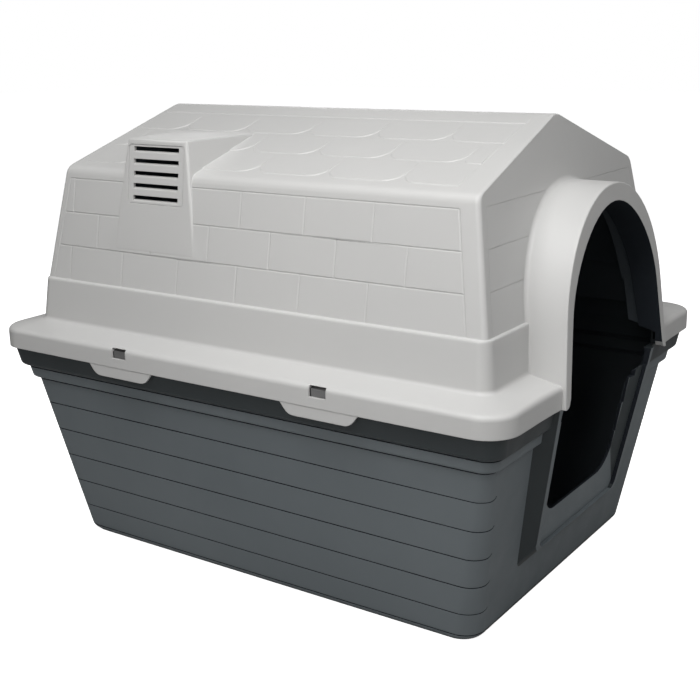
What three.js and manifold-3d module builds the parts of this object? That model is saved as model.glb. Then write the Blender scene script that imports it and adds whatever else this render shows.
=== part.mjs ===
// Two-shell plastic pet kennel: a dark tub with a doorway, a light lid that lifts off, and snap catches.
// Millimetres. +Z up, the roof ridge along Y, the doorway faces -Y, the two long sides face -X and +X.
import * as THREE from "three";
import { mergeVertices } from "three/addons/utils/BufferGeometryUtils.js";
import Module from "manifold-3d";

const wasm = await Module();
wasm.setup();

// ---- driving dimensions ----
const WALL = 3.5; // moulded wall thickness
const GAP = 0.4; // assembly gap between separate pieces
const CUT = 20; // how far cutting tools reach past a surface
const INSIDE_Y = -300; // cutting tools for the doorway end here, inside the cabin

const RIM_W = 330; // lid skirt, half width
const RIM_L = 430; // lid skirt, half length
const RIM_R = 44; // plan corner radius of the skirt
const RIM_Z0 = 313.9; // lower edge of the skirt
const RIM_Z1 = 342.9; // top edge of the skirt
const RIM_ROUND = 7; // chamfer along the skirt's top edge
const PLINTH_Z = 351.7; // foot of the plinth above the sloping ledge
const PLINTH = { w0: 281.2, l0: 385.2, w1: 273.5, l1: 379, r: 18 };
const STEP_Z = 414.5; // top of the plinth
const HOUSE_WALL = { w0: 271, l0: 376.3, w1: 239.5, l1: 347.3, r: 6 };
const EAVE_Z = 579;
const RIDGE = { w: 9, l: 333.5, z: 657.2 };

const TUB_Z1 = 313.4; // top of the tub's outer wall, just under the skirt
const TUB = { w0: 250.5, l0: 352.3, w1: 302.3, l1: 404.6, r: 22 };
const FLOOR = 4; // floor thickness
const BAND_A = { z: 279, proud: 15 }; // upper rim band
const BAND_B = { z: 259, proud: 7 }; // lower rim band
const COLLAR = { w: 316, l: 416, r: 40, top: 339.7 }; // upright collar inside the skirt
const LEDGE = { w: 325.4, l: 425.4, r: 40, z0: 315.4, z1: 318.4 }; // flat ledge that carries the catches

// Porch barrel and its doorway
const PORCH_LEAN = 0.0792; // the ring's face leans back by this much per mm of height
const PORCH_Y = -430; // ring face at PORCH_MID_Z
const PORCH_MID_Z = 419;
const PORCH_BACK_Y = -381; // rear end of the barrel's inner sleeve at PORCH_BACK_Z
const PORCH_BACK_Z = 495;
const PORCH_BACK_LEAN = 0.14; // it reaches forwards by this much per mm further down
const PORCH_OUTER = { foot: 178, side: 162.5, sideZ: 420, k1: [150.2, 505], k2: 84, top: 572 };
const PORCH_INNER = { foot: 163.5, side: 145.3, sideZ: 420, k1: [135, 480], k2: 70, top: 548.4 };
const PORCH_BASE_Z = 313.9;

// Door surround on the tub
const DOOR_Y = -402.9; // surround face at DOOR_MID_Z
const DOOR_MID_Z = 192;
const DOOR_LEAN = 0.184;
const DOOR_HALF = 139.6; // half width inside the lip at DOOR_MID_Z
const DOOR_FLARE = 0.107; // the lip's half width grows by this much per mm of height
const DOOR_LIP = 12; // width of the lip strip
const DOOR_CHAMFER = 19; // the outer flank spreads this far towards the wall
const DOOR_FOOT_Z = 65; // lower end of the outer flank
const DOOR_SILL_Z = 97; // lower edge inside the lip
const DOOR_LIP_SILL = 4; // width of the lip along the sill
const DOOR_STEP = 5.5; // the flange inside the lip starts this far behind the lip's face
const DOOR_SPLAY = 7; // and slopes back this much further to the opening
const DOOR_FLANGE = 25; // width of the flange on the jambs
const DOOR_FLANGE_TOP_Z = 288; // upper end of the flange on the jambs
const DOOR_OPEN_SILL_Z = 136; // sill of the opening itself
const DOOR_OPEN_R = 40; // its lower corners
const DOOR_R = 14; // lower corners of the lip

// Vent dormers, one on each long side towards the rear
const DORMER = { y: 161, topZ: 626, footZ: 470, faceTop: 238.5, faceFoot: 258.9, back: 100 };
const DORMER_HALF = { topFace: 56, topBack: 68, foot: 77.5 };
const GRILLE = { w: 104, h: 82, z: 577, slots: 5, pitch: 17, slotW: 85, slotH: 6, setBack: 0.6, t: 3 };

// Catch windows and tabs in the skirt
const CATCH_Y = 172; // distance of each catch from the middle of the rim
const WINDOW = { w: 26, z0: 327.5, z1: 342, depth: 14 };
const TAB = { top: 122, bottom: 95, z: 298, setBack: 0.6 };
const POCKET_W = 34; // gap in the tub's collar around each catch
const CATCH = { w: 24, root: 317.2, back: 320.4, nose: 326.1 }; // width and distances from the ridge's plane
const CATCH_Z = { foot: 318.9, ramp: 323.5, nose0: 327.8, nose1: 337.2, top: 339.2 };

// The rim is centred on the ring's overhang so that the box of the whole part is centred on the origin.
const RING_Y = -PORCH_Y + PORCH_LEAN * (PORCH_MID_Z - PORCH_BASE_Z);
const FRAME_SHIFT_Y = (RING_Y - RIM_L) / 2;

// ---- small geometry helpers ----
function solid(geometry) {
  const g = geometry.clone();
  g.deleteAttribute("normal");
  g.deleteAttribute("uv");
  const merged = mergeVertices(g, 1e-4);
  const vertProperties = new Float32Array(merged.attributes.position.array);
  const triVerts = new Uint32Array(merged.index.array);
  return new wasm.Manifold(new wasm.Mesh({ numProp: 3, vertProperties, triVerts }));
}

function geometryOf(body) {
  const m = body.getMesh();
  const g = new THREE.BufferGeometry();
  g.setAttribute("position", new THREE.BufferAttribute(new Float32Array(m.vertProperties), 3));
  g.setIndex(new THREE.BufferAttribute(new Uint32Array(m.triVerts), 1));
  return g;
}

function moveVertices(geometry, move) {
  const p = geometry.attributes.position;
  for (let i = 0; i < p.count; i++) {
    const [x, y, z] = move(p.getX(i), p.getY(i), p.getZ(i));
    p.setXYZ(i, x, y, z);
  }
  return geometry;
}

function roundedRect(halfX, halfY, r) {
  const s = new THREE.Shape();
  s.moveTo(halfX, -halfY + r);
  s.absarc(halfX - r, halfY - r, r, 0, Math.PI / 2);
  s.absarc(-halfX + r, halfY - r, r, Math.PI / 2, Math.PI);
  s.absarc(-halfX + r, -halfY + r, r, Math.PI, 1.5 * Math.PI);
  s.absarc(halfX - r, -halfY + r, r, 1.5 * Math.PI, 2 * Math.PI);
  return s;
}

// A tapered block with rounded upright corners, from (w0, l0) at z0 to (w1, l1) at z1.
function taper(w0, l0, z0, w1, l1, z1, r) {
  const g = new THREE.ExtrudeGeometry(roundedRect(w0, l0, r), {
    depth: 1,
    bevelEnabled: false,
    curveSegments: 6,
  });
  const moved = moveVertices(g, (x, y, t) => [
    x * (1 + t * (w1 / w0 - 1)),
    y * (1 + t * (l1 / l0 - 1)),
    z0 + t * (z1 - z0),
  ]);
  return solid(moved);
}

// A profile in the XZ plane swept along Y, from yBack(z) to yFront(z).
function alongY(shape, yFront, yBack, segments = 12) {
  const g = new THREE.ExtrudeGeometry(shape, {
    depth: 1,
    bevelEnabled: false,
    curveSegments: segments,
  });
  return solid(moveVertices(g, (x, z, t) => [x, t > 0.5 ? yFront(z) : yBack(z), z]));
}

// A block whose eight corners are given by corner(sx, sy, sz), each sign -1 or +1.
function hexa(corner) {
  const g = new THREE.BoxGeometry(2, 2, 2);
  return solid(moveVertices(g, (x, y, z) => corner(Math.sign(x), Math.sign(y), Math.sign(z))));
}

function box(x0, x1, y0, y1, z0, z1) {
  const g = new THREE.BoxGeometry(x1 - x0, y1 - y0, z1 - z0);
  g.translate((x0 + x1) / 2, (y0 + y1) / 2, (z0 + z1) / 2);
  return solid(g);
}

function union(bodies) {
  return bodies.reduce((a, b) => a.add(b));
}

// ---- lid ----
const houseSlope = (RIDGE.z - EAVE_Z) / (HOUSE_WALL.w1 - RIDGE.w);

// The house form drawn in by `t` on its sides and lowered by `t` on its sloping faces.
function houseForm(t) {
  const drop = t * Math.hypot(1, houseSlope);
  const foot = RIM_Z0 - (t ? CUT : 0);
  const eave = EAVE_Z - (t ? 1 : 0);
  const w = RIM_W - t;
  const l = RIM_L - t;
  const r = RIM_R - t;
  const topW = w - RIM_ROUND;
  const topL = l - RIM_ROUND;
  const topZ = RIM_Z1 - t;
  const walls = HOUSE_WALL;
  const ridgeW = t ? RIDGE.w - 2 : RIDGE.w;
  return union([
    taper(w, l, foot, w, l, topZ - RIM_ROUND, r),
    taper(w, l, topZ - RIM_ROUND, topW, topL, topZ, r),
    taper(topW, topL, topZ, PLINTH.w0, PLINTH.l0, PLINTH_Z - t, r),
    taper(PLINTH.w0 - t, PLINTH.l0 - t, PLINTH_Z - CUT, PLINTH.w1 - t, PLINTH.l1 - t, STEP_Z - t, PLINTH.r),
    taper(walls.w0 - t, walls.l0 - t, STEP_Z - CUT, walls.w1 - t, walls.l1 - t, eave, walls.r),
    taper(walls.w1 - t, walls.l1 - t, eave, ridgeW, RIDGE.l - t, RIDGE.z - drop, walls.r),
  ]);
}

// The porch's arch grown by `t`. A grown arch also reaches down past the skirt's edge.
function arch(p, t) {
  const s = new THREE.Shape();
  s.moveTo(-p.foot - t, PORCH_BASE_Z - (t ? CUT : 0));
  s.lineTo(p.foot + t, PORCH_BASE_Z - (t ? CUT : 0));
  s.lineTo(p.side + t, p.sideZ);
  s.bezierCurveTo(p.k1[0] + t, p.k1[1] + t / 2, p.k2 + t / 2, p.top + t, 0, p.top + t);
  s.bezierCurveTo(-p.k2 - t / 2, p.top + t, -p.k1[0] - t, p.k1[1] + t / 2, -p.side - t, p.sideZ);
  s.closePath();
  return s;
}

const porchFace = (z) => PORCH_Y + PORCH_LEAN * (z - PORCH_MID_Z);
const porchBack = (z) => PORCH_BACK_Y - PORCH_BACK_LEAN * (PORCH_BACK_Z - z);
const cabin = () => INSIDE_Y; // a plane inside the cabin, where cutting tools end

function dormer(side, t) {
  return hexa((sx, sy, sz) => {
    const face = sx < 0;
    const top = sz > 0;
    const half = top ? (face ? DORMER_HALF.topFace : DORMER_HALF.topBack) : DORMER_HALF.foot;
    const out = face ? (top ? DORMER.faceTop : DORMER.faceFoot) - t : DORMER.back;
    const z = top ? DORMER.topZ - t : DORMER.footZ;
    // Turned about Z for the far side, so the block keeps facing outwards.
    return side < 0 ? [-out, DORMER.y + sy * (half - t), z] : [out, DORMER.y - sy * (half - t), z];
  });
}

const faceBatter = Math.atan((DORMER.faceFoot - DORMER.faceTop) / (DORMER.topZ - DORMER.footZ));
const faceX = (z) => DORMER.faceTop + Math.tan(faceBatter) * (DORMER.topZ - z);

// A slab lying in the dormer's face, `depth0` to `depth1` behind it.
function faceSlab(side, w, z0, z1, depth0, depth1) {
  return hexa((sx, sy, sz) => {
    const z = sz > 0 ? z1 : z0;
    const out = faceX(z) - (sx < 0 ? depth0 : depth1);
    return side < 0 ? [-out, DORMER.y + (sy * w) / 2, z] : [out, DORMER.y - (sy * w) / 2, z];
  });
}

function skirtTab(side, y) {
  const x0 = RIM_W - WALL;
  return hexa((sx, sy, sz) => {
    const half = (sz > 0 ? TAB.top : TAB.bottom) / 2;
    const x = sx < 0 ? RIM_W - TAB.setBack : x0;
    const z = sz > 0 ? RIM_Z0 + 1 : TAB.z;
    return side < 0 ? [-x, y + sy * half, z] : [x, y - sy * half, z];
  });
}

function roofShell() {
  const outside = union([
    houseForm(0),
    alongY(arch(PORCH_OUTER, 0), porchFace, cabin),
    dormer(-1, 0),
    dormer(1, 0),
  ]);
  const inside = houseForm(WALL).add(dormer(-1, WALL)).add(dormer(1, WALL));
  // The barrel is hollow behind its face, round an inner sleeve.
  const sleeve = alongY(arch(PORCH_INNER, WALL), (z) => porchFace(z) - CUT, porchBack);
  const porchVoid = alongY(arch(PORCH_OUTER, -WALL), (z) => porchFace(z) + WALL, cabin).subtract(sleeve);
  const doorway = alongY(arch(PORCH_INNER, 1e-3), (z) => porchFace(z) - CUT, (z) => cabin(z) + CUT);
  let shell = outside.subtract(inside).subtract(porchVoid).subtract(doorway);
  const half = GRILLE.h / 2;
  for (const side of [-1, 1]) {
    shell = shell.subtract(faceSlab(side, GRILLE.w, GRILLE.z - half, GRILLE.z + half, -CUT, CUT));
    for (const y of [-CATCH_Y, CATCH_Y]) {
      shell = shell.add(skirtTab(side, y));
      const w = WINDOW.w / 2;
      const x = [side * (RIM_W - WINDOW.depth), side * (RIM_W + CUT)].sort((a, b) => a - b);
      shell = shell.subtract(box(x[0], x[1], y - w, y + w, WINDOW.z0, WINDOW.z1));
    }
  }
  return shell;
}

function ventGrille(side) {
  const half = GRILLE.h / 2 - GAP;
  const w = GRILLE.w - 2 * GAP;
  const back = GRILLE.setBack + GRILLE.t;
  let plate = faceSlab(side, w, GRILLE.z - half, GRILLE.z + half, GRILLE.setBack, back);
  for (let i = 0; i < GRILLE.slots; i++) {
    const z = GRILLE.z + (i - (GRILLE.slots - 1) / 2) * GRILLE.pitch;
    const h = GRILLE.slotH / 2;
    plate = plate.subtract(faceSlab(side, GRILLE.slotW, z - h, z + h, -CUT, CUT));
  }
  return plate;
}

// ---- tub ----
const tubW = (z) => TUB.w0 + ((TUB.w1 - TUB.w0) * z) / TUB_Z1;
const tubL = (z) => TUB.l0 + ((TUB.l1 - TUB.l0) * z) / TUB_Z1;

// The part of the tub's tapered form between z0 and z1, grown outwards by `grow`.
function tubForm(z0, z1, grow, r) {
  return taper(tubW(z0) + grow, tubL(z0) + grow, z0, tubW(z1) + grow, tubL(z1) + grow, z1, r);
}

const doorFace = (z) => DOOR_Y - DOOR_LEAN * (z - DOOR_MID_Z);
const doorHalf = (z) => DOOR_HALF + DOOR_FLARE * (z - DOOR_MID_Z);

// A U-shaped profile that hangs from zTop to a sill, grown by `side` at the jambs.
function doorShape(side, sill, zTop, r) {
  const s = new THREE.Shape();
  s.moveTo(-doorHalf(zTop) - side, zTop);
  s.lineTo(-doorHalf(sill + r) - side, sill + r);
  s.quadraticCurveTo(-doorHalf(sill) - side, sill, -doorHalf(sill) - side + r, sill);
  s.lineTo(doorHalf(sill) + side - r, sill);
  s.quadraticCurveTo(doorHalf(sill) + side, sill, doorHalf(sill + r) + side, sill + r);
  s.lineTo(doorHalf(zTop) + side, zTop);
  s.closePath();
  return s;
}

// The surround: its outer profile spreads by the chamfer between its face and the tub wall.
function doorSurround(t) {
  const sill = DOOR_SILL_Z - DOOR_LIP_SILL;
  const front = doorShape(DOOR_LIP - t, sill + t, TUB_Z1, DOOR_R);
  const g = new THREE.ExtrudeGeometry(front, { depth: 1, bevelEnabled: false, curveSegments: 8 });
  return solid(
    moveVertices(g, (x, z, s) => {
      const zSpread = ((sill - DOOR_FOOT_Z) * (TUB_Z1 - z)) / (TUB_Z1 - sill);
      const back = s < 0.5;
      const spread = x + Math.sign(x) * DOOR_CHAMFER;
      const y = doorFace(z) + t;
      return back ? [spread, y + DOOR_CHAMFER, z - zSpread] : [x, y, z];
    }),
  );
}

// Cuts the step inside the lip and the flange that slopes back from it.
function doorRecess() {
  const top = COLLAR.top + CUT;
  const shape = doorShape(0, DOOR_SILL_Z, top, DOOR_R);
  const step = alongY(shape, (z) => doorFace(z) - CUT, (z) => doorFace(z) + DOOR_STEP);
  const g = new THREE.ExtrudeGeometry(shape, { depth: 1, bevelEnabled: false, curveSegments: 8 });
  const rise = (z) => ((DOOR_OPEN_SILL_Z - DOOR_SILL_Z) * (top - z)) / (top - DOOR_SILL_Z);
  const splay = solid(
    moveVertices(g, (x, z, t) => {
      if (t > 0.5) return [x, doorFace(z) + DOOR_STEP - 1, z];
      const up = z + rise(z);
      return [x - Math.sign(x) * DOOR_FLANGE, doorFace(up) + DOOR_STEP + DOOR_SPLAY, up];
    }),
  );
  return step.add(splay);
}

// The way in: narrower than the lip up to the flange's upper end, and as wide as the lip above it.
function doorOpening() {
  const top = COLLAR.top + CUT;
  const face = (z) => doorFace(z) - CUT;
  const low = doorShape(-DOOR_FLANGE, DOOR_OPEN_SILL_Z, top, DOOR_OPEN_R);
  const high = doorShape(0, DOOR_FLANGE_TOP_Z, top, 1);
  return alongY(low, face, cabin).add(alongY(high, face, cabin));
}

function baseTub() {
  const r = TUB.r;
  const outside = union([
    tubForm(0, TUB_Z1, 0, r),
    tubForm(BAND_B.z, BAND_A.z, BAND_B.proud, r),
    tubForm(BAND_A.z, TUB_Z1, BAND_A.proud, r),
    taper(COLLAR.w, COLLAR.l, TUB_Z1 - 1, COLLAR.w, COLLAR.l, COLLAR.top, COLLAR.r),
    taper(LEDGE.w, LEDGE.l, LEDGE.z0, LEDGE.w, LEDGE.l, LEDGE.z1, LEDGE.r),
    doorSurround(0),
  ]);
  const innerW = COLLAR.w - WALL;
  const innerL = COLLAR.l - WALL;
  const far = 2 * TUB.l1; // past the tub on every side
  const belowSill = box(-far, far, -far, 0, 0, DOOR_SILL_Z);
  const inside = union([
    tubForm(FLOOR, TUB_Z1 - 2, -WALL, r),
    tubForm(BAND_B.z + WALL, BAND_A.z + 1, BAND_B.proud - WALL, r),
    tubForm(BAND_A.z + WALL, TUB_Z1 - 2, BAND_A.proud - WALL, r),
    taper(innerW, innerL, TUB_Z1 - WALL, innerW, innerL, COLLAR.top + CUT, COLLAR.r),
    doorSurround(DOOR_STEP + DOOR_SPLAY + WALL).subtract(belowSill),
  ]);
  let tub = outside.subtract(inside).subtract(doorRecess()).subtract(doorOpening());
  // The collar and the ledge stop clear of the porch barrel.
  const clear = PORCH_OUTER.foot + WALL;
  tub = tub.subtract(box(-clear, clear, -far, INSIDE_Y, TUB_Z1, COLLAR.top + CUT));
  for (const side of [-1, 1]) {
    for (const y of [-CATCH_Y, CATCH_Y]) {
      const x = [side * (COLLAR.w - 2 * WALL), side * (COLLAR.w + 1)].sort((a, b) => a - b);
      tub = tub.subtract(box(x[0], x[1], y - POCKET_W / 2, y + POCKET_W / 2, LEDGE.z1, COLLAR.top + CUT));
    }
  }
  return tub;
}

// ---- catches ----
function latchCatch(side, y) {
  const s = new THREE.Shape();
  s.moveTo(CATCH.root, CATCH_Z.foot);
  s.lineTo(CATCH.back, CATCH_Z.foot);
  s.lineTo(CATCH.back, CATCH_Z.ramp);
  s.lineTo(CATCH.nose, CATCH_Z.nose0);
  s.lineTo(CATCH.nose, CATCH_Z.nose1);
  s.lineTo(CATCH.back, CATCH_Z.top);
  s.lineTo(CATCH.root, CATCH_Z.top);
  s.closePath();
  const g = new THREE.ExtrudeGeometry(s, { depth: CATCH.w, bevelEnabled: false });
  g.rotateX(Math.PI / 2);
  g.translate(0, CATCH.w / 2, 0);
  if (side < 0) g.rotateZ(Math.PI);
  g.translate(0, y, 0);
  return solid(g);
}

// ---- materials ----
const lightShell = () => new THREE.MeshStandardMaterial({ color: 0xc2bfba, roughness: 0.5, metalness: 0 });
const darkShell = () => new THREE.MeshStandardMaterial({ color: 0x3a4248, roughness: 0.5, metalness: 0 });
const grillePlastic = () => new THREE.MeshStandardMaterial({ color: 0xb9b6b0, roughness: 0.55, metalness: 0 });
const catchPlastic = () => new THREE.MeshStandardMaterial({ color: 0x4a4d50, roughness: 0.5, metalness: 0 });

// ---- assembly ----
const kennel = new THREE.Group();

function place(name, body, material) {
  const mesh = new THREE.Mesh(geometryOf(body), material);
  mesh.name = name;
  mesh.position.y = FRAME_SHIFT_Y;
  kennel.add(mesh);
}

place("roof_shell", roofShell(), lightShell());
place("base_tub", baseTub(), darkShell());
place("vent_grille_left", ventGrille(-1), grillePlastic());
place("vent_grille_right", ventGrille(1), grillePlastic());
place("latch_catch_front_left", latchCatch(-1, -CATCH_Y), catchPlastic());
place("latch_catch_rear_left", latchCatch(-1, CATCH_Y), catchPlastic());
place("latch_catch_front_right", latchCatch(1, -CATCH_Y), catchPlastic());
place("latch_catch_rear_right", latchCatch(1, CATCH_Y), catchPlastic());

export default kennel;
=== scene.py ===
"""A two-shell plastic pet kennel: looks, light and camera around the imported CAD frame.

Lengths in the making are millimetres in the kennel's own frame (rim centred on the origin).
finish_piece() turns each piece into metres and moves it into the part's frame.
"""

import math

import bmesh
import bpy
from mathutils import Matrix, Vector


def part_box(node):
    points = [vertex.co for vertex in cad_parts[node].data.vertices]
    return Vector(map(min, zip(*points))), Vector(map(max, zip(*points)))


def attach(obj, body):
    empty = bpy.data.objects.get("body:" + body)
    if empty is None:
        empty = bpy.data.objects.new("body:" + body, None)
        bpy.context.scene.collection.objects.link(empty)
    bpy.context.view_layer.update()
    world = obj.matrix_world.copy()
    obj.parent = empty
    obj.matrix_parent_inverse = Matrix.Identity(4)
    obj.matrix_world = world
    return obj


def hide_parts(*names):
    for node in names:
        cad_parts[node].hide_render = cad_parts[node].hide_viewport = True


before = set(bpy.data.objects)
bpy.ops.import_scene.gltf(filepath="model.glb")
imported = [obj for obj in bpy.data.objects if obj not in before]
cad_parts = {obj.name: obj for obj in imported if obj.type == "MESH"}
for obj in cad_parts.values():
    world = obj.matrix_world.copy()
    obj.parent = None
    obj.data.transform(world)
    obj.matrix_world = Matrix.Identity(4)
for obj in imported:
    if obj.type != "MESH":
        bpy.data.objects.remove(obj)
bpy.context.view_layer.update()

# ---------------------------------------------------------------- sizes, mm
MM = 0.001
SHARP_ANGLE = 32.0  # degrees
WALL = 3.5  # moulded wall

RIM_W, RIM_L, RIM_R = 330.0, 430.0, 44.0  # lid skirt, half width, half length, corner
RIM_Z0, RIM_Z1 = 313.9, 342.9  # its lower and upper edge
PLINTH_Z = 351.7
PLINTH_FOOT = (281.2, 385.2)
PLINTH_TOP = (273.5, 379.0)
STEP_Z = 414.5
WALL_FOOT = (268.5, 375.0)
EAVE = (239.5, 347.3)
EAVE_Z = 579.0
RIDGE = (9.0, 333.5)
RIDGE_Z = 657.2

PORCH_LEAN = 0.0792
PORCH_Y, PORCH_MID_Z = -430.0, 419.0
PORCH_FOOT_Z = RIM_Z0
PORCH_FILLET = 5.5
SLEEVE_Y, SLEEVE_Z, SLEEVE_LEAN = -381.0, 495.0, 0.14  # rear edge of the porch's inner sleeve

TUB_TOP_Z = 313.4
TUB_FOOT = (250.5, 352.3)
TUB_TOP = (302.3, 404.6)
TUB_R = (30.0, 17.0)
FLOOR = 4.0
BAND_A_Z, BAND_A = 279.0, 15.0
BAND_B_Z, BAND_B = 259.0, 7.0
GROOVE_Z = 46.0
GROOVE_PITCH = 43.25
GROOVES = 5
GROOVE_TOP_Z = 219.0
GROOVE_DIP = 2.6  # the top board sags by this much towards the front
DIP_START, DIP_RUN = 60, 440.0  # where along the side the sag starts, and over what length it grows
COLLAR = (316.0, 416.0, 340.1)
LEDGE = (325.4, 425.4, 315.4, 318.4)

DOOR_Y, DOOR_MID_Z, DOOR_LEAN = -402.9, 192.0, 0.184
DOOR_HALF, DOOR_FLARE = 139.6, 0.107
DOOR_LIP = 12.0
DOOR_CHAMFER = 20.0
DOOR_FOOT_Z = 65.0  # lower end of the surround's flank
DOOR_SILL_Z = 97.0
DOOR_LIP_SILL = 3.0
DOOR_STEP, DOOR_SPLAY = 5.5, 7.0  # the flange starts this far behind the lip, and slopes back this more
DOOR_TOP_CUT = 182.0  # half width of the gap in the collar over the doorway
DOOR_FLANGE = 25.0
JAMB_GROOVE = (2.2, 5.0)  # width and depth of the groove between the lip's step and the flange
OPEN_SILL_Z, OPEN_R = 136.0, 40.0
OPEN_HALF = 112.0
OPEN_STEPS = ((192, 114.5), (236, 120.5), (274, 134.0), (288, 152.0))  # height, half width above it

BRICK_TOP_Z = 563.0
COURSE = 49.2
COURSES = 3
BRICK = 106.0
BRICK_FRONT, BRICK_REAR = -322.6, 335.0
BRICK_SPREAD = 8.3  # each lower course is this much longer at both ends
BRICK_JOINTS = (8.0, 61.0)  # where one upright joint stands in the even and in the odd courses
GABLE_COURSE, GABLE_SPREAD = 226.0, 9.0  # half length of a gable's top course, and what the next one adds

TILE_ROWS = (218.0, 159.0, 100.0, 40.0)  # distance of each row's lower edge from the ridge's plane
TILE, TILE_GAP = 115.0, 2.4
TILE_JOINTS = (8.0, -49.5)  # where one joint stands in the even and in the odd rows
TILE_LIFT, TILE_EDGE = 0.95, 0.9  # how proud the lower edge is, and how far it spreads per mm of height
TILE_FRONT, TILE_REAR = -308.0, 322.0

DORMER_Y = 161.0
DORMER_TOP_Z, DORMER_FOOT_Z = 626.0, 470.0
DORMER_FACE_TOP, DORMER_FACE_FOOT, DORMER_BACK = 238.5, 258.9, 100.0
DORMER_HALF_FACE, DORMER_HALF_BACK, DORMER_HALF_FOOT = 56.0, 68.0, 77.5
GRILLE_W, GRILLE_H, GRILLE_Z = 104.0, 82.0, 577.0
BLADES = 5
SLOT_W, SLOT_H, SLOT_PITCH = 85.0, 7.5, 17.0

FLOOR_BOUNCE, FLOOR_GLOW = 0.38, 0.95

CATCH_Y = 172.0
POCKET_HALF, POCKET_DEPTH = 17.0, 7.0  # the notch in the collar round a catch
WINDOW_W, WINDOW_Z0, WINDOW_Z1 = 26.0, 327.5, 342.2
TAB_TOP, TAB_BOTTOM, TAB_Z = 122.0, 95.0, 298.0
TAB_SET_BACK = 0.6

# Material indices of a piece's faces: the outside's own plastic, and slots of painted shade.
# OUTSIDE is the plain plastic; DARK paints near-black shade into grooves, recess walls and doorway reveals.
OUTSIDE, DARK = 0, 1
# On the lid, index 2 paints shade over the inside.
LID_CAVITY = 2
# On the tub, index 2 is less grained plastic darkened as painted shade and reflection, and index 3 paints
# shade over the inside.
SMOOTH_SHADED, TUB_CAVITY = 2, 3

SHIFT_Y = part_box("roof_shell")[1].y / MM - RIM_L  # the part's origin is the middle of the box with the porch


# ---------------------------------------------------------------- mesh helpers
def new_object(name, verts, faces):
    mesh = bpy.data.meshes.new(name)
    mesh.from_pydata([tuple(v) for v in verts], [], faces)
    mesh.update()
    obj = bpy.data.objects.new(name, mesh)
    bpy.context.scene.collection.objects.link(obj)
    bm = bmesh.new()
    bm.from_mesh(mesh)
    bmesh.ops.remove_doubles(bm, verts=bm.verts, dist=1e-4)
    bmesh.ops.recalc_face_normals(bm, faces=bm.faces)
    bm.to_mesh(mesh)
    bm.free()
    return obj


def loft(name, loops):
    """A closed solid through loops that all have the same number of points."""
    n = len(loops[0])
    verts = [p for loop in loops for p in loop]
    faces = []
    for k in range(len(loops) - 1):
        for i in range(n):
            j = (i + 1) % n
            faces.append((k * n + i, k * n + j, (k + 1) * n + j, (k + 1) * n + i))
    faces.append(tuple(range(n))[::-1])
    faces.append(tuple((len(loops) - 1) * n + i for i in range(n)))
    return new_object(name, verts, faces)


def boolean(target, tool, operation):
    """target becomes target (operation) tool, and the tool is removed."""
    mod = target.modifiers.new("cut", "BOOLEAN")
    mod.material_mode = "INDEX"
    mod.object = tool
    mod.operation = operation
    mod.solver = "MANIFOLD"
    graph = bpy.context.evaluated_depsgraph_get()
    mesh = bpy.data.meshes.new_from_object(target.evaluated_get(graph))
    target.modifiers.clear()
    old = target.data
    target.data = mesh
    bpy.data.meshes.remove(old)
    bpy.data.objects.remove(tool)
    return target


def painted_shade(obj, shade_slot=DARK):
    """Marks a cutting tool's faces with a darker slot than the outside's, so the faces it leaves in a piece
    carry painted shade.
    """
    for polygon in obj.data.polygons:
        polygon.material_index = shade_slot
    return obj


def join(target, *tools):
    for tool in tools:
        boolean(target, tool, "UNION")
    return target


def cut(target, *tools):
    for tool in tools:
        boolean(target, tool, "DIFFERENCE")
    return target


BOX_FACES = [(3, 2, 1, 0), (4, 5, 6, 7), (0, 1, 5, 4), (1, 2, 6, 5), (2, 3, 7, 6), (3, 0, 4, 7)]


def box(x0, x1, y0, y1, z0, z1):
    verts = [(x, y, z) for z in (z0, z1) for x, y in ((x0, y0), (x1, y0), (x1, y1), (x0, y1))]
    return new_object("box", verts, BOX_FACES)


def block(corner):
    """A block whose corners are corner(sx, sy, sz), each sign -1 or +1."""
    signs = [(x, y, z) for z in (-1, 1) for x, y in ((-1, -1), (1, -1), (1, 1), (-1, 1))]
    return new_object("block", [corner(*s) for s in signs], BOX_FACES)


def round_edges(obj, radius, chosen):
    """Rounds the edges whose two ends are chosen."""
    bm = bmesh.new()
    bm.from_mesh(obj.data)
    edges = [e for e in bm.edges if chosen(e.verts[0].co, e.verts[1].co)]
    bmesh.ops.bevel(bm, geom=edges, offset=radius, segments=3, profile=0.5, affect="EDGES")
    bm.to_mesh(obj.data)
    bm.free()


def groove(points, size, across, deep=None):
    """A V cutter along a polyline, `size` half wide and `deep` into the surface square to `across`."""
    deep = deep or size
    loops = []
    for i, p in enumerate(points):
        a = Vector(points[max(i - 1, 0)])
        b = Vector(points[min(i + 1, len(points) - 1)])
        along = (b - a).normalized()
        out = Vector(across(p)).normalized()
        side = along.cross(out).normalized()
        p = Vector(p)
        loops.append([p + out * deep, p + side * size, p - out * deep, p - side * size])
    return loft("groove", loops)


# ---------------------------------------------------------------- plan loops and profiles
def rounded_rect(hx, hy, r, z, n=8):
    points = []
    for sx, sy, start in ((1, 1, 0), (-1, 1, 90), (-1, -1, 180), (1, -1, 270)):
        for i in range(n + 1):
            a = math.radians(start + 90 * i / n)
            points.append((sx * (hx - r) + r * math.cos(a), sy * (hy - r) + r * math.sin(a), z))
    return points


def soften(levels, steps=4):
    """Rounds a profile of levels (hx, hy, r, z, reach). Each corner is cut back by reach on both sides."""
    out = [levels[0][:4]]
    for before, level, after in zip(levels, levels[1:], levels[2:]):
        reach = level[4]
        if not reach:
            out.append(level[:4])
            continue
        p = Vector(level[:4])
        ends = []
        for other in (before, after):
            q = Vector(other[:4])
            length = math.hypot(q[0] - p[0], q[3] - p[3])
            ends.append(p.lerp(q, min(0.49, reach / length)))
        for i in range(steps + 1):
            t = i / steps
            out.append(tuple(ends[0].lerp(p, t).lerp(p.lerp(ends[1], t), t)))
    out.append(levels[-1][:4])
    return out


def plan_loft(name, levels, n=8):
    return loft(name, [rounded_rect(*level, n=n) for level in levels])


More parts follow.
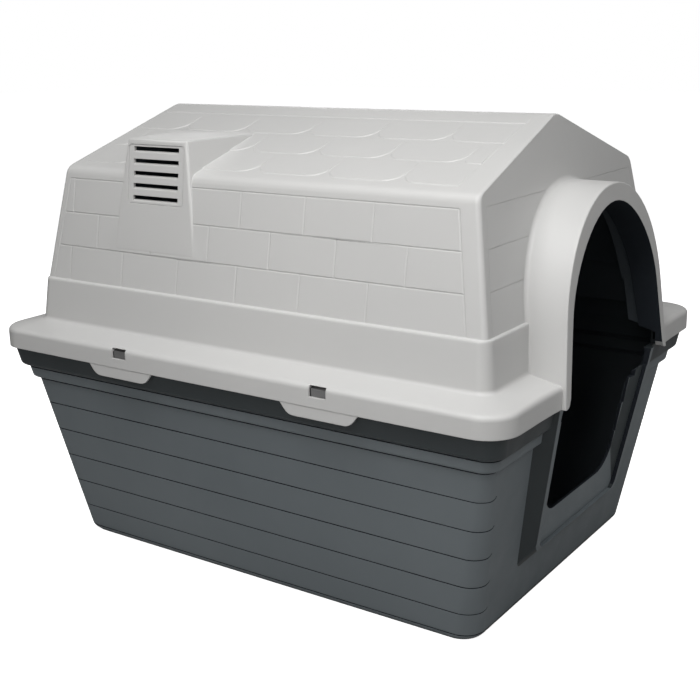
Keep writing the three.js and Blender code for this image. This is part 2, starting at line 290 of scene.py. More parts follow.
# ---------------------------------------------------------------- lid
def house_levels():
    return [
        (RIM_W, RIM_L, RIM_R, RIM_Z0, 0),
        (RIM_W, RIM_L, RIM_R, RIM_Z1 - 0.2, 7),
        (*PLINTH_FOOT, 18, PLINTH_Z, 5),
        (*PLINTH_TOP, 16, STEP_Z, 4),
        (*WALL_FOOT, 7, STEP_Z + 0.3, 1.2),
        (*EAVE, 6, EAVE_Z, 10),
        (*RIDGE, 5, RIDGE_Z, 7),
        (1.0, RIDGE[1] - 3, 0.8, RIDGE_Z + 0.6, 0),
    ]


def house_outer():
    return plan_loft("roof_shell_look", soften(house_levels()))


def front_blend(side):
    """Where the skirt's front swells out to meet the porch's ring."""
    swell = ((232, 0), (210, 0.5), (192, 1.2), (181, 2.0), (174, 2.9))
    swell += ((168, 4.3), (164, 6.0), (161, 7.6), (150, 7.6))
    far, near = swell[0][0], swell[-1][0]
    root = 8  # how far it reaches into the skirt
    loops = []
    for _, hy, _, z in soften(house_levels()):
        if z > RIM_Z1 + 3:
            break
        reach = (-porch_face(z) - RIM_L) / (-porch_face(RIM_Z0) - RIM_L)
        loop = [(side * x, -(hy + out * reach), z) for x, out in swell]
        loop += [(side * x, -(hy - root), z) for x in (near, far)]
        loops.append(loop)
    return loft("blend", loops)


def foot_round(side):
    """Cuts the ring's inner lower corner round."""
    r = 9.0
    x = porch_inner()[0].x
    outline = [(x - 6, RIM_Z0 + r), (x - 0.8, RIM_Z0 + r)]
    for i in range(1, 6):
        a = math.radians(90 * i / 5)
        outline.append((x + r * (1 - math.cos(a)), RIM_Z0 + r * (1 - math.sin(a))))
    outline += [(x + r, RIM_Z0 - 6), (x - 6, RIM_Z0 - 6)]
    return loft("foot", [[(side * px, y, z) for px, z in outline] for y in (-460, -424)])


def house_inner():
    t = WALL
    drop = t * 1.06
    levels = [
        (RIM_W - t, RIM_L - t, RIM_R - t, RIM_Z0 - 10),
        (RIM_W - t, RIM_L - t, RIM_R - t, RIM_Z1 - t - 3),
        (RIM_W - t - 5, RIM_L - t - 5, RIM_R - t, RIM_Z1 - t - 0.4),
        (PLINTH_FOOT[0] - t, PLINTH_FOOT[1] - t, 15, PLINTH_Z - t),
        (PLINTH_TOP[0] - t, PLINTH_TOP[1] - t, 13, STEP_Z - t),
        (WALL_FOOT[0] - t, WALL_FOOT[1] - t, 5, STEP_Z - t + 0.5),
        (EAVE[0] - t, EAVE[1] - t, 4, EAVE_Z - 1),
        (RIDGE[0] - 2, RIDGE[1] - t, 3, RIDGE_Z - drop),
    ]
    return plan_loft("inside", levels)


def porch_face(z):
    return PORCH_Y + PORCH_LEAN * (z - PORCH_MID_Z)


def gable_face(z):
    run = (WALL_FOOT[1] - EAVE[1]) / (EAVE_Z - STEP_Z)
    return -(WALL_FOOT[1] - run * (z - STEP_Z))


def bezier(a, b, c, d, steps):
    points = []
    for i in range(steps + 1):
        t = i / steps
        s = 1 - t
        points.append(a * s**3 + b * 3 * s * s * t + c * 3 * s * t * t + d * t**3)
    return points


def arch(foot, side, k1, k2, top, grow=0.0, foot_z=PORCH_FOOT_Z):
    """Half outline (x, z) of the porch from its foot to its crown, grown outwards."""
    side_z = 420.0
    slope = (foot - side) / (side_z - PORCH_FOOT_Z)
    feet = foot + slope * (PORCH_FOOT_Z - foot_z)
    half = [Vector((feet + (side - feet) * i / 5, foot_z + (side_z - foot_z) * i / 5)) for i in range(5)]
    half += bezier(Vector((side, side_z)), Vector(k1), Vector((k2, top)), Vector((0, top)), 14)
    grown = []
    for i, p in enumerate(half):
        a = half[max(i - 1, 0)]
        b = half[min(i + 1, len(half) - 1)]
        along = (b - a).normalized()
        if i == len(half) - 1:
            along = Vector((-1, 0))
        grown.append(p + Vector((along.y, -along.x)) * grow)
    return grown


def porch_outer(grow=0.0, foot_z=PORCH_FOOT_Z):
    return arch(178.0, 162.5, (150.2, 505.0), 84.0, 572.0, grow, foot_z)


def porch_inner(grow=0.0, foot_z=PORCH_FOOT_Z):
    return arch(163.5, 145.3, (135.0, 480.0), 70.0, 548.4, grow, foot_z)


def arch_loop(half, y_of):
    full = half + [Vector((-p.x, p.y)) for p in half[-2::-1]]
    return [(p.x, y_of(p.y), p.y) for p in full]


def porch_barrel():
    """The arched barrel: a tight front edge, a straight flank, and a fillet into the gable."""
    edge = 1.6
    loops = []
    for i in range(4):
        a = math.radians(90 * i / 3)
        back = edge * (1 - math.sin(a))
        inwards = edge * (1 - math.cos(a))
        loops.append(arch_loop(porch_outer(-inwards), lambda z: porch_face(z) + back))
    loops.reverse()
    r = PORCH_FILLET
    for i in range(7):
        a = math.radians(90 * i / 6)
        ahead = r * (1 - math.sin(a))
        outwards = r * (1 - math.cos(a))
        loops.append(arch_loop(porch_outer(outwards), lambda z: gable_face(z) - ahead))
    loops.append(arch_loop(porch_outer(r), lambda z: gable_face(z) + 12))
    return loft("barrel", loops)


def prism_y(half, y_front, y_back):
    return loft("prism", [arch_loop(half, y_front), arch_loop(half, y_back)])


def sleeve_back(z):
    return SLEEVE_Y - SLEEVE_LEAN * (SLEEVE_Z - z)


def dormer(side, t=0.0):
    def corner(sx, sy, sz):
        face, top = sx < 0, sz > 0
        half = (DORMER_HALF_FACE if face else DORMER_HALF_BACK) if top else DORMER_HALF_FOOT
        out = ((DORMER_FACE_TOP if top else DORMER_FACE_FOOT) - t) if face else DORMER_BACK
        z = DORMER_TOP_Z - t if top else DORMER_FOOT_Z
        return (side * out, DORMER_Y + sy * (half - t), z)

    obj = block(corner)
    if not t:
        face_x, foot_z, top_z = DORMER_BACK + 5, DORMER_FOOT_Z + 1, DORMER_TOP_Z - 1
        face_r, top_r = 4.5, 2.5
        round_edges(obj, face_r, lambda a, b: min(abs(a.x), abs(b.x)) > face_x and max(a.z, b.z) > foot_z)
        round_edges(obj, top_r, lambda a, b: min(a.z, b.z) > top_z and abs(a.y - b.y) < 40)
    return obj


def dormer_face_x(z):
    height = DORMER_TOP_Z - DORMER_FOOT_Z
    return DORMER_FACE_TOP + (DORMER_FACE_FOOT - DORMER_FACE_TOP) * (DORMER_TOP_Z - z) / height


def rounded_panel(side, w, h, r, d0, d1):
    """A rounded-corner panel in the dormer's face, from d0 to d1 behind it."""
    loops = []
    for depth in (d0, d1):
        loop = []
        for x, z, _ in rounded_rect(w / 2, h / 2, r, 0, n=6):
            height = GRILLE_Z + z
            loop.append((side * (dormer_face_x(height) - depth), DORMER_Y + x, height))
        loops.append(loop)
    return loft("panel", loops)


def skirt_tab(side, y):
    """The tongue under the skirt that the catch pulls against, with rounded lower corners."""
    outline = []
    r = 9.0
    for sign in (1, -1):
        lower = Vector((sign * TAB_BOTTOM / 2, TAB_Z))
        upper = Vector((sign * TAB_TOP / 2, RIM_Z0 + 1))
        start = lower.lerp(upper, r / (upper - lower).length)
        end = lower.lerp(Vector((0, TAB_Z)), r / (TAB_BOTTOM / 2))
        curve = [start.lerp(lower, k / 4).lerp(lower.lerp(end, k / 4), k / 4) for k in range(5)]
        points = [upper] + curve
        outline += points if sign > 0 else points[::-1]
    loops = []
    for x in (RIM_W - TAB_SET_BACK, RIM_W - WALL):
        loops.append([(side * x, y + p.x, p.y) for p in outline])
    return loft("tab", loops)


def wall_x(z):
    return WALL_FOOT[0] + (EAVE[0] - WALL_FOOT[0]) * (z - STEP_Z) / (EAVE_Z - STEP_Z)


def brick_grooves(side):
    """Shallow, soft courses on a long wall, and fainter, wider upright joints."""
    course = (1.2, 0.75)
    upright = (1.6, 0.6)
    tools = []
    normal = Vector((side, 0, (WALL_FOOT[0] - EAVE[0]) / (EAVE_Z - STEP_Z)))

    def line(points, section):
        tools.append(groove(points, section[0], lambda p: normal, section[1]))

    for k in range(COURSES):
        z = BRICK_TOP_Z - COURSE * k
        front, rear = BRICK_FRONT - BRICK_SPREAD * k, BRICK_REAR + BRICK_SPREAD * k
        line([(side * wall_x(z), front, z), (side * wall_x(z), rear, z)], course)
    for k in range(COURSES):
        top = BRICK_TOP_Z - COURSE * k
        bottom = top - COURSE if k < COURSES - 1 else STEP_Z + 1
        y = BRICK_JOINTS[k % 2] + 3 * BRICK
        while y > BRICK_FRONT + 14:
            if y < BRICK_REAR - 8:
                line([(side * wall_x(z), y, z) for z in (top, bottom)], upright)
            y -= BRICK
    for y, lean in ((BRICK_FRONT, -BRICK_SPREAD), (BRICK_REAR, BRICK_SPREAD)):
        points = []
        for k in range(COURSES + 1):
            z = max(BRICK_TOP_Z - COURSE * k, STEP_Z + 1)
            points.append((side * wall_x(z), y + lean * k, z))
        line(points, upright)
    return tools


def gable_grooves(end):
    """Fainter courses on a gable wall, between its corner borders."""
    size = 0.45
    tools = []
    run = (WALL_FOOT[1] - EAVE[1]) / (EAVE_Z - STEP_Z)
    normal = Vector((0, end, run))
    for k in range(COURSES):
        z = BRICK_TOP_Z + 2 - COURSE * k
        half = GABLE_COURSE + GABLE_SPREAD * k
        y = -end * gable_face(z)
        tools.append(groove([(-half, y, z), (half, y, z)], size, lambda p: normal))
    for sign in (-1, 1):
        points = []
        for k in range(COURSES + 1):
            z = max(BRICK_TOP_Z + 2 - COURSE * k, STEP_Z + 1)
            points.append((sign * (GABLE_COURSE + GABLE_SPREAD * k), -end * gable_face(z), z))
        tools.append(groove(points, size, lambda p: normal))
    return tools


def roof_z(x):
    """Height of the roof's plane at distance x from the ridge's plane."""
    return EAVE_Z + (RIDGE_Z - EAVE_Z) * (EAVE[0] - x) / (EAVE[0] - RIDGE[0])


def tile_outline(depth, y0, y1, front_r, rear_r, grow):
    """Points (y, distance up the slope) round a tile whose lower corners are rounded."""
    points = []
    for end, sign, r in ((y1 + grow, -1, rear_r), (y0 - grow, 1, front_r)):
        arc = [(end, -grow)]
        if r:
            arc = []
            for i in range(7):
                a = math.radians(15 * i)
                arc.append((end + sign * r * (1 - math.cos(a)), r * (1 - math.sin(a)) - grow))
        points += [(end, depth)] + arc if sign < 0 else arc[::-1] + [(end, depth)]
    return points


def roof_tile(side, low, high, y0, y1, square_front, square_rear):
    """One moulded tile: a thin wedge, proud at its lower edge, with sloped edges all round."""
    r = min(26.0, (y1 - y0) / 2.2)
    front_r = 0.0 if square_front else r
    rear_r = 0.0 if square_rear else r
    slope = math.hypot(1, (RIDGE_Z - EAVE_Z) / (EAVE[0] - RIDGE[0]))
    depth = (low - high) * slope
    out_x, out_z = 0.31, 0.95  # square to the roof
    buried = 2.5
    loops = []
    for grow, lift, sink in ((1.1 + buried * TILE_EDGE, 0.0, buried), (0.0, TILE_LIFT, 0.0)):
        loop = []
        for y, up in tile_outline(depth, y0, y1, front_r, rear_r, grow):
            x = low - up / slope
            rise = lift * (1 - max(up, 0) / depth) + 0.12 if lift else -sink
            loop.append((side * (x + rise * out_x), y, roof_z(x) + rise * out_z))
        loops.append(loop)
    return loft("tile", loops)


def roof_tiles(side):
    tiles = []
    for row, low in enumerate(TILE_ROWS):
        high = TILE_ROWS[row + 1] + 1.5 if row + 1 < len(TILE_ROWS) else 14.0
        if row == len(TILE_ROWS) - 1:
            tiles.append(roof_tile(side, low, high, TILE_FRONT, TILE_REAR, True, True))
            continue
        edge = TILE_JOINTS[row % 2] - 5 * TILE
        edges = []
        while edge < TILE_REAR:
            if edge > TILE_FRONT + 12:
                edges.append(edge)
            edge += TILE
        edges = [TILE_FRONT] + edges + [TILE_REAR]
        for y0, y1 in zip(edges, edges[1:]):
            if y1 - y0 < 10:
                continue
            ends = (y0 == TILE_FRONT, y1 == TILE_REAR)
            tiles.append(roof_tile(side, low, high, y0 + TILE_GAP / 2, y1 - TILE_GAP / 2, *ends))
    return tiles


def make_roof_shell():
    shell = house_outer()
    for side in (-1, 1):
        for tile in roof_tiles(side):
            join(shell, tile)
        for tool in brick_grooves(side):
            cut(shell, tool)
    for end in (-1, 1):
        for tool in gable_grooves(end):
            cut(shell, tool)
    join(shell, porch_barrel(), dormer(-1), dormer(1), front_blend(-1), front_blend(1))
    inside = house_inner()
    join(inside, dormer(-1, WALL), dormer(1, WALL))
    # The light lid's inside is coloured dark blue-grey as painted shade.
    cut(shell, painted_shade(inside, LID_CAVITY))
    # The barrel is hollow behind its face, round an inner sleeve. The hollow gets the same dark painted shade.
    void = prism_y(porch_outer(-WALL, RIM_Z0 - 10), lambda z: porch_face(z) + WALL, lambda z: -300)
    sleeve = prism_y(porch_inner(WALL, RIM_Z0 - 20), lambda z: porch_face(z) - 20, sleeve_back)
    cut(void, sleeve)
    cut(shell, painted_shade(void, LID_CAVITY))
    doorway = prism_y(porch_inner(0, RIM_Z0 - 20), lambda z: porch_face(z) - 20, lambda z: -200)
    # The doorway's cut faces are painted near-black as shade.
    cut(shell, painted_shade(doorway), foot_round(-1), foot_round(1))
    for side in (-1, 1):
        cut(shell, rounded_panel(side, GRILLE_W, GRILLE_H, 5, -30, 12))
        for y in (-CATCH_Y, CATCH_Y):
            join(shell, skirt_tab(side, y))
            x0, x1 = sorted((side * (RIM_W - 14), side * (RIM_W + 20)))
            half = WINDOW_W / 2
            cut(shell, box(x0, x1, y - half, y + half, WINDOW_Z0, WINDOW_Z1))
    return shell


def make_grille(side):
    """The louvre insert: a rounded frame with slanting blades."""
    frame_depth = 5.0
    gap = 0.4
    plate = rounded_panel(side, GRILLE_W - 2 * gap, GRILLE_H - 2 * gap, 4.6, 0.4, frame_depth)
    for k in range(BLADES):
        z = GRILLE_Z + (k - (BLADES - 1) / 2) * SLOT_PITCH
        cut(plate, louvre_slot(side, z, frame_depth))
    return plate


def louvre_slot(side, z, depth):
    """A slot that slopes up and inwards, so that what is left between slots is a blade."""
    drop, rise = 2.0, 4.0

    def corner(sx, sy, sz):
        height = z + (SLOT_H / 2 if sz > 0 else -SLOT_H / 2)
        out = sx < 0
        height += -drop if out else rise
        x = dormer_face_x(z) + 4 if out else dormer_face_x(z) - depth - 4
        return (side * x, DORMER_Y + sy * SLOT_W / 2, height)

    return block(corner)


# ---------------------------------------------------------------- tub
def tub_at(z, grow=0.0):
    t = z / TUB_TOP_Z
    hx = TUB_FOOT[0] + (TUB_TOP[0] - TUB_FOOT[0]) * t + grow
    hy = TUB_FOOT[1] + (TUB_TOP[1] - TUB_FOOT[1]) * t + grow
    r = TUB_R[0] + (TUB_R[1] - TUB_R[0]) * t + grow * 0.3
    return hx, hy, r, z


def tub_outer():
    levels = [
        (*tub_at(0, -5.5), 0),
        (*tub_at(7.5, 0.5), 3.0),
        (*tub_at(BAND_B_Z, 0), 1.5),
        (*tub_at(BAND_B_Z + 3, BAND_B), 3),
        (*tub_at(BAND_A_Z, BAND_B), 1.5),
        (*tub_at(BAND_A_Z + 4, BAND_A), 4),
        (*tub_at(TUB_TOP_Z, BAND_A), 1.0),
        (LEDGE[0], LEDGE[1], 42, LEDGE[2], 0),
        (LEDGE[0], LEDGE[1], 42, LEDGE[3], 0),
        (COLLAR[0], COLLAR[1], 40, LEDGE[3] + 0.3, 0),
        (COLLAR[0], COLLAR[1], 40, COLLAR[2], 0),
    ]
    return plan_loft("base_tub_look", soften(levels), n=12)


def tub_inner():
    t = WALL
    levels = [
        tub_at(FLOOR, -t - 4),
        tub_at(FLOOR + 6, -t),
        tub_at(BAND_B_Z + 1, -t),
        tub_at(BAND_B_Z + 5, BAND_B - t),
        tub_at(BAND_A_Z + 1, BAND_B - t),
        tub_at(BAND_A_Z + 6, BAND_A - t),
        tub_at(TUB_TOP_Z - 4, BAND_A - t),
        (COLLAR[0] - t, COLLAR[1] - t, 36.5, TUB_TOP_Z + 1),
        (COLLAR[0] - t, COLLAR[1] - t, 36.5, COLLAR[2] + 10),
    ]
    return plan_loft("inside", levels, n=12)


def ring_groove(loop, size):
    """A V cutter along a closed loop."""
    n = len(loop)
    verts = []
    for i in range(n):
        p, a, b = Vector(loop[i]), Vector(loop[i - 1]), Vector(loop[(i + 1) % n])
        along = (b - a).normalized()
        out = Vector((along.y, -along.x, 0))
        up = Vector((0, 0, 1))
        verts += [p + out * size * 1.6, p + up * size, p - out * size * 1.6, p - up * size]
    faces = []
    for i in range(n):
        j = (i + 1) % n
        for k in range(4):
            m = (k + 1) % 4
            faces.append((i * 4 + k, i * 4 + m, j * 4 + m, j * 4 + k))
    return new_object("ring_groove", verts, faces)


def door_face(z):
    return DOOR_Y - DOOR_LEAN * (z - DOOR_MID_Z)


def door_half(z):
    return DOOR_HALF + DOOR_FLARE * (z - DOOR_MID_Z)


def door_outline(grow, sill, top_z, r, n=7):
    """A U outline (x, z), from the left top round the sill to the right top."""
    right = []
    for i in range(n + 1):
        a = math.radians(90 * i / n)
        x = door_half(sill) + grow - r + r * math.sin(a)
        z = sill + r - r * math.cos(a)
        x += (door_half(z) - door_half(sill)) * (z - sill) / r
        right.append(Vector((x, z)))
    right.append(Vector((door_half(top_z) + grow, top_z)))
    return [Vector((-p.x, p.y)) for p in right[::-1]] + right


def door_loop(outline, y_of):
    return [(p.x, y_of(p.y), p.y) for p in outline]


def door_surround():
    sill = DOOR_SILL_Z - DOOR_LIP_SILL
    edge = 1.5
    steps = (
        (DOOR_LIP - edge, sill + edge, 0.0, 14.0),
        (DOOR_LIP - edge * 0.3, sill + edge * 0.3, edge * 0.3, 13.0),
        (DOOR_LIP, sill, edge, 12.0),
        (DOOR_LIP + DOOR_CHAMFER, DOOR_FOOT_Z, DOOR_CHAMFER + 2, 8.0),
        (DOOR_LIP + DOOR_CHAMFER, DOOR_FOOT_Z, DOOR_CHAMFER + 14, 8.0),
    )
    loops = []
    for grow, low, back, r in steps:
        outline = door_outline(grow, low, TUB_TOP_Z, r)
        loops.append(door_loop(outline, lambda z, back=back: door_face(z) + back))
    obj = loft("surround", loops)
    # The flanks get the darker smooth plastic: partly a real smoother finish, partly painted shade and
    # reflection.
    for polygon in obj.data.polygons:
        polygon.material_index = SMOOTH_SHADED if abs(polygon.normal.y) < 0.9 else OUTSIDE
    return obj


def recess_tool():
    """Cuts the step inside the lip, the flange that slopes back from it, and a groove along the jambs."""
    top = COLLAR[2] + 20
    sections = (
        (0, DOOR_SILL_Z, 12.0, -30),
        (0, DOOR_SILL_Z, 12.0, DOOR_STEP),
        (-2.5, DOOR_SILL_Z + 2.5, 12.0, DOOR_STEP),
        (-DOOR_FLANGE, OPEN_SILL_Z, 40.0, DOOR_STEP + DOOR_SPLAY),
    )
    loops = []
    for grow, sill, r, back in sections:
        outline = door_outline(grow, sill, top, r)
        loops.append(door_loop(outline, lambda z, back=back: door_face(z) + back))
    obj = loft("recess", loops)
    # Steep side walls are painted near-black as shade; the slopes get the darker smooth plastic, partly
    # painted shade.
    for polygon in obj.data.polygons:
        side = abs(polygon.normal.x)
        polygon.material_index = DARK if side > 0.8 else SMOOTH_SHADED if side > 0.15 else OUTSIDE
    # The groove along the jambs is painted near-black as shade.
    outer = door_prism(
        door_outline(0, DOOR_SILL_Z, top, 12.0),
        lambda z: door_face(z) - 30,
        lambda z: door_face(z) + DOOR_STEP + JAMB_GROOVE[1],
    )
    inside = door_prism(
        door_outline(-JAMB_GROOVE[0], DOOR_SILL_Z - 6, top, 20.0),
        lambda z: door_face(z) - 40,
        lambda z: door_face(z) + 60,
    )
    cut(painted_shade(outer), painted_shade(inside))
    return join(obj, outer)


def door_prism(outline, y_front, y_back):
    return loft("prism", [door_loop(outline, y_front), door_loop(outline, y_back)])


def stepped_opening():
    """The doorway in the tub, whose jambs widen in steps up to the end of the flange."""
    right = []
    n = 8
    for i in range(n + 1):
        a = math.radians(90 * i / n)
        x = OPEN_HALF - OPEN_R * (1 - math.sin(a))
        right.append(Vector((x, OPEN_SILL_Z + OPEN_R * (1 - math.cos(a)))))
    half = OPEN_HALF
    for z, wider in OPEN_STEPS:
        right.append(Vector((half, z)))
        half = wider
        right.append(Vector((half, z + 0.5)))
    right.append(Vector((half, COLLAR[2] + 20)))
    return [Vector((-p.x, p.y)) for p in right[::-1]] + right


def siding_groove(z, size):
    """A groove round both sides and the back at height z. Its ends curl up at the plain front wall."""
    hx, hy, r, _ = tub_at(z)
    sag = GROOVE_DIP * math.sqrt(z / GROOVE_TOP_Z)
    right = [(hx - r - 3.0, -hy)]
    for k in range(9):
        a = math.radians(-90 + 90 * k / 8)
        right.append((hx - r + r * math.cos(a), -hy + r + r * math.sin(a)))
    right += [(hx, -hy + (hy * 2 - r) * k / 8 + r * (1 - k / 8)) for k in range(1, 8)]
    curl = (4.5, 2.0, 0.6)
    points = []
    for i, (x, y) in enumerate(right):
        drop = sag * min(max((DIP_START - y) / DIP_RUN, 0.0), 1.0)
        points.append((x, y, z - drop + (curl[i] if i < len(curl) else 0.0)))
    for k in range(9):
        a = math.radians(90 * k / 8)
        points.append((hx - r + r * math.cos(a), hy - r + r * math.sin(a), z))
    points += [(-x, y, h) for x, y, h in reversed(points)]
    return groove(points, size, lambda p: (p[0] / hx, p[1] / hy, 0), 2.0)


def make_base_tub():
    tub = tub_outer()
    # The siding grooves are painted near-black inside as painted shade.
    for k in range(GROOVES):
        cut(tub, painted_shade(siding_groove(GROOVE_Z + GROOVE_PITCH * k, 0.8)))
    # One line above the foot, and one under each rim band, each painted near-black as a shadow line.
    for z, grow in ((10.5, 0.3), (BAND_B_Z - 1.2, 0.2), (BAND_A_Z - 1.2, BAND_B + 0.2)):
        cut(tub, painted_shade(ring_groove(rounded_rect(*tub_at(z, grow), n=12), 0.9)))
    join(tub, door_surround())
    inside = tub_inner()
    # The surround is hollow behind its flange.
    hollow = door_prism(
        door_outline(-8, DOOR_SILL_Z + 8, TUB_TOP_Z - 3, 30.0),
        lambda z: door_face(z) + DOOR_STEP + DOOR_SPLAY + WALL,
        lambda z: -300,
    )
    join(inside, hollow)
    # The tub's inside is coloured darker than its outside as painted shade.
    cut(tub, painted_shade(inside, TUB_CAVITY))
    cut(tub, recess_tool())
    # The doorway's reveals are painted near-black as shade.
    cut(tub, painted_shade(door_prism(stepped_opening(), lambda z: door_face(z) - 30, lambda z: -300)))
    cut(tub, box(-DOOR_TOP_CUT, DOOR_TOP_CUT, -600, -300, TUB_TOP_Z, COLLAR[2] + 30))
    for side in (-1, 1):
        for y in (-CATCH_Y, CATCH_Y):
            x0, x1 = sorted((side * (COLLAR[0] - POCKET_DEPTH), side * (COLLAR[0] + 1)))
            cut(tub, box(x0, x1, y - POCKET_HALF, y + POCKET_HALF, LEDGE[3], COLLAR[2] + 20))
    # The upper rim band gets the surround's darker smooth plastic, painted shade for the skirt's shadow on it;
    # the walls below are grained.
    for polygon in tub.data.polygons:
        if polygon.material_index == OUTSIDE and polygon.center.z > BAND_A_Z - 1:
            polygon.material_index = SMOOTH_SHADED
    return tub


# ---------------------------------------------------------------- finishing a piece
def finish_piece(obj, name, body, node, slot, *materials):
    obj.name = name
    obj.data.name = name
    obj.data.transform(Matrix.Translation((0, SHIFT_Y * MM, 0)) @ Matrix.Scale(MM, 4))
    obj.data.shade_smooth()
    obj.data.set_sharp_from_angle(angle=math.radians(SHARP_ANGLE))
    index = [polygon.material_index for polygon in obj.data.polygons]
    obj.data.materials.clear()
    for material in materials:
        obj.data.materials.append(material)
    last = len(materials) - 1
    obj.data.polygons.foreach_set("material_index", [min(k, last) for k in index])
    weighted = obj.modifiers.new("even shading", "WEIGHTED_NORMAL")
    weighted.keep_sharp = True
    weighted.weight = 60
    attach(obj, body)
    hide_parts(node)


# ---------------------------------------------------------------- materials
def new_material(name):
    mat = bpy.data.materials.new(name)
    mat.use_nodes = True
    tree = mat.node_tree
    return mat, tree, tree.nodes["Principled BSDF"]


def add(tree, kind, **settings):
    node = tree.nodes.new(kind)
    for key, value in settings.items():
        setattr(node, key, value)
    return node


def moulded_plastic(name, light, dark, roughness, edge, grain=0.10, specular=0.5):
    """Satin moulded plastic: slow colour drift, fine grain, faint scuffs and soft edges."""
    mat, tree, bsdf = new_material(name)
    link = tree.links.new
    bsdf.inputs["Specular IOR Level"].default_value = specular
    coords = add(tree, "ShaderNodeTexCoord")
    drift = add(tree, "ShaderNodeTexNoise")
    drift.inputs["Scale"].default_value = 3.0
    drift.inputs["Detail"].default_value = 4.0
    link(coords.outputs["Object"], drift.inputs["Vector"])
    ramp = add(tree, "ShaderNodeValToRGB")
    ramp.color_ramp.elements[0].position = 0.3
    ramp.color_ramp.elements[0].color = (*dark, 1)
    ramp.color_ramp.elements[1].position = 0.7
    ramp.color_ramp.elements[1].color = (*light, 1)
    link(drift.outputs["Fac"], ramp.inputs["Fac"])
    link(ramp.outputs["Color"], bsdf.inputs["Base Color"])

    scuff = add(tree, "ShaderNodeTexNoise")
    scuff.inputs["Scale"].default_value = 22.0
    scuff.inputs["Detail"].default_value = 6.0
    link(coords.outputs["Object"], scuff.inputs["Vector"])
    rough = add(tree, "ShaderNodeMapRange")
    rough.inputs["From Min"].default_value = 0.3
    rough.inputs["From Max"].default_value = 0.7
    rough.inputs["To Min"].default_value = roughness - 0.05
    rough.inputs["To Max"].default_value = roughness + 0.07
    link(scuff.outputs["Fac"], rough.inputs["Value"])
    link(rough.outputs["Result"], bsdf.inputs["Roughness"])

    fine = add(tree, "ShaderNodeTexNoise")
    fine.inputs["Scale"].default_value = 700.0
    fine.inputs["Detail"].default_value = 2.0
    link(coords.outputs["Object"], fine.inputs["Vector"])
    soft = add(tree, "ShaderNodeBevel", samples=6)
    soft.inputs["Radius"].default_value = edge * MM
    bump = add(tree, "ShaderNodeBump")
    bump.inputs["Strength"].default_value = grain
    bump.inputs["Distance"].default_value = 0.0004
    link(fine.outputs["Fac"], bump.inputs["Height"])
    link(soft.outputs["Normal"], bump.inputs["Normal"])
    link(bump.outputs["Normal"], bsdf.inputs["Normal"])
    return mat


def floor_material():
    """A pale floor. It is white to look at, and throws only a little light back up at the kennel."""
    mat, tree, bsdf = new_material("studio_floor")
    seen = add(tree, "ShaderNodeLightPath").outputs["Is Camera Ray"]
    tone = add(tree, "ShaderNodeMapRange")
    tone.inputs["To Min"].default_value = FLOOR_BOUNCE
    tone.inputs["To Max"].default_value = 0.95
    glow = add(tree, "ShaderNodeMapRange")
    glow.inputs["To Max"].default_value = FLOOR_GLOW
    for node in (tone, glow):
        tree.links.new(seen, node.inputs["Value"])
    tree.links.new(tone.outputs["Result"], bsdf.inputs["Base Color"])
    tree.links.new(glow.outputs["Result"], bsdf.inputs["Emission Strength"])
    bsdf.inputs["Emission Color"].default_value = (1, 1, 1, 1)
    bsdf.inputs["Roughness"].default_value = 0.9
    return mat


# ---------------------------------------------------------------- camera, light, floor
def make_camera():
    """A camera at the kennel's near front corner, level with the roof, looking slightly down."""
    azimuth, elevation, roll = math.radians(-55.524), math.radians(15.451), math.radians(-1.001)
    back = Vector(
        (
            math.sin(azimuth) * math.cos(elevation),
            -math.cos(azimuth) * math.cos(elevation),
            math.sin(elevation),
        )
    )
    right = Vector((math.cos(azimuth), math.sin(azimuth), 0))
    up = back.cross(right)
    tilted_right = right * math.cos(roll) + up * math.sin(roll)
    tilted_up = up * math.cos(roll) - right * math.sin(roll)
    place = Vector((-1439.7, -985.2 + SHIFT_Y, 769.4)) * MM
    cam = bpy.data.cameras.new("camera")
    cam.sensor_width = 36.0
    cam.lens = 59.65
    cam.clip_start = 0.05
    cam.clip_end = 50
    obj = bpy.data.objects.new("camera", cam)
    bpy.context.scene.collection.objects.link(obj)
    obj.matrix_world = Matrix(
        [
            [tilted_right.x, tilted_up.x, back.x, place.x],
            [tilted_right.y, tilted_up.y, back.y, place.y],
            [tilted_right.z, tilted_up.z, back.z, place.z],
            [0, 0, 0, 1],
        ]
    )
    bpy.context.scene.camera = obj


def area_light(name, place, target, size, power, colour=(1, 1, 1)):
    light = bpy.data.lights.new(name, "AREA")
    light.shape = "DISK"
    light.size = size
    light.energy = power
    light.color = colour
    obj = bpy.data.objects.new(name, light)
    bpy.context.scene.collection.objects.link(obj)
    obj.location = place
    obj.rotation_euler = (Vector(target) - Vector(place)).to_track_quat("-Z", "Y").to_euler()


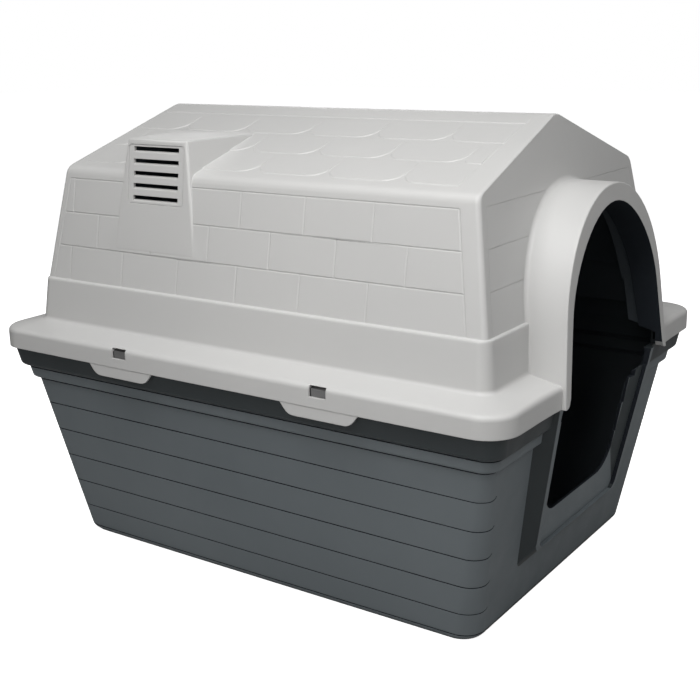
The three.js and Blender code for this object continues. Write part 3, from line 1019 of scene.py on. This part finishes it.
def make_studio():
    world = bpy.data.worlds.new("studio")
    bpy.context.scene.world = world
    world.use_nodes = True
    sky = world.node_tree.nodes["Background"]
    seen = add(world.node_tree, "ShaderNodeLightPath").outputs["Is Camera Ray"]
    strength = add(world.node_tree, "ShaderNodeMapRange")
    strength.inputs["To Min"].default_value = 0.09
    world.node_tree.links.new(seen, strength.inputs["Value"])
    world.node_tree.links.new(strength.outputs["Result"], sky.inputs["Strength"])
    sky.inputs["Color"].default_value = (1, 1, 1, 1)
    middle = (0, 0, 0.35)
    area_light("overhead", (-0.95, -0.25, 2.1), middle, 1.5, 34)
    area_light("front", (-0.3, -1.7, 1.8), middle, 1.0, 10.5)
    area_light("side_high", (-1.5, -0.6, 1.2), middle, 1.0, 3.0, (1.0, 0.975, 0.95))
    area_light("side_near", (-0.9, -0.4, 0.8), middle, 0.6, 1.3)
    area_light("side_low", (-1.3, -0.2, 0.5), middle, 0.6, 1.3)
    area_light("front_right", (1.0, -2.3, 1.3), middle, 1.2, 4.0)
    area_light("far_side", (2.0, 1.4, 0.9), middle, 1.4, 14)
    half = 12.0
    corners = [(-half, -half, 0), (half, -half, 0), (half, half, 0), (-half, half, 0)]
    floor = new_object("floor", corners, [(0, 1, 2, 3)])
    floor.location.z = -0.0005
    floor.data.materials.append(floor_material())
    view = bpy.context.scene.view_settings
    view.view_transform = "Standard"
    view.look = "None"


# ---------------------------------------------------------------- build
make_camera()
make_studio()

LIGHT_GREY = (0.485, 0.483, 0.475), (0.462, 0.461, 0.455)
light_plastic = moulded_plastic("light_shell", *LIGHT_GREY, 0.45, 1.6)
# Near-black painted shade for grooves, recess side walls, the jamb groove and doorway reveals.
shade_black_plastic = moulded_plastic(
    "painted_shade_black", (0.016, 0.020, 0.026), (0.012, 0.015, 0.020), 0.7, 0.8, specular=0.2
)
# Dark blue-grey painted shade for the insides of both shells.
cavity_shade_plastic = moulded_plastic(
    "cavity_painted_shade", (0.070, 0.082, 0.094), (0.056, 0.067, 0.078), 0.7, 0.8, specular=0.2
)
# Smoother, less grained dark plastic; its colour is darkened well below the tub's as painted shade and
# reflection on the surround's flanks and the rim band.
smooth_shaded_plastic = moulded_plastic(
    "door_surround", (0.028, 0.035, 0.038), (0.023, 0.030, 0.033), 0.45, 1.0, 0.05, specular=0.4
)
dark_plastic = moulded_plastic("dark_shell", (0.136, 0.156, 0.167), (0.116, 0.135, 0.146), 0.5, 1.2)
grille_plastic = moulded_plastic("grille_plastic", *LIGHT_GREY, 0.5, 0.6)
catch_plastic = moulded_plastic("catch_plastic", (0.15, 0.15, 0.15), (0.10, 0.10, 0.10), 0.45, 0.6)

roof_plastic_and_shade = (light_plastic, shade_black_plastic, cavity_shade_plastic)
tub_plastic_and_shade = (dark_plastic, shade_black_plastic, smooth_shaded_plastic, cavity_shade_plastic)
finish_piece(make_roof_shell(), "roof_shell_look", "lid", "roof_shell", "light_shell", *roof_plastic_and_shade)
finish_piece(make_base_tub(), "base_tub_look", "tub", "base_tub", "dark_shell", *tub_plastic_and_shade)
for side, name in ((-1, "left"), (1, "right")):
    node = "vent_grille_" + name
    finish_piece(make_grille(side), node + "_look", "lid", node, "grille_plastic", grille_plastic)
    for end in ("front", "rear"):
        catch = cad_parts["latch_catch_" + end + "_" + name]
        catch.data.materials.clear()
        catch.data.materials.append(catch_plastic)

bpy.context.view_layer.update()
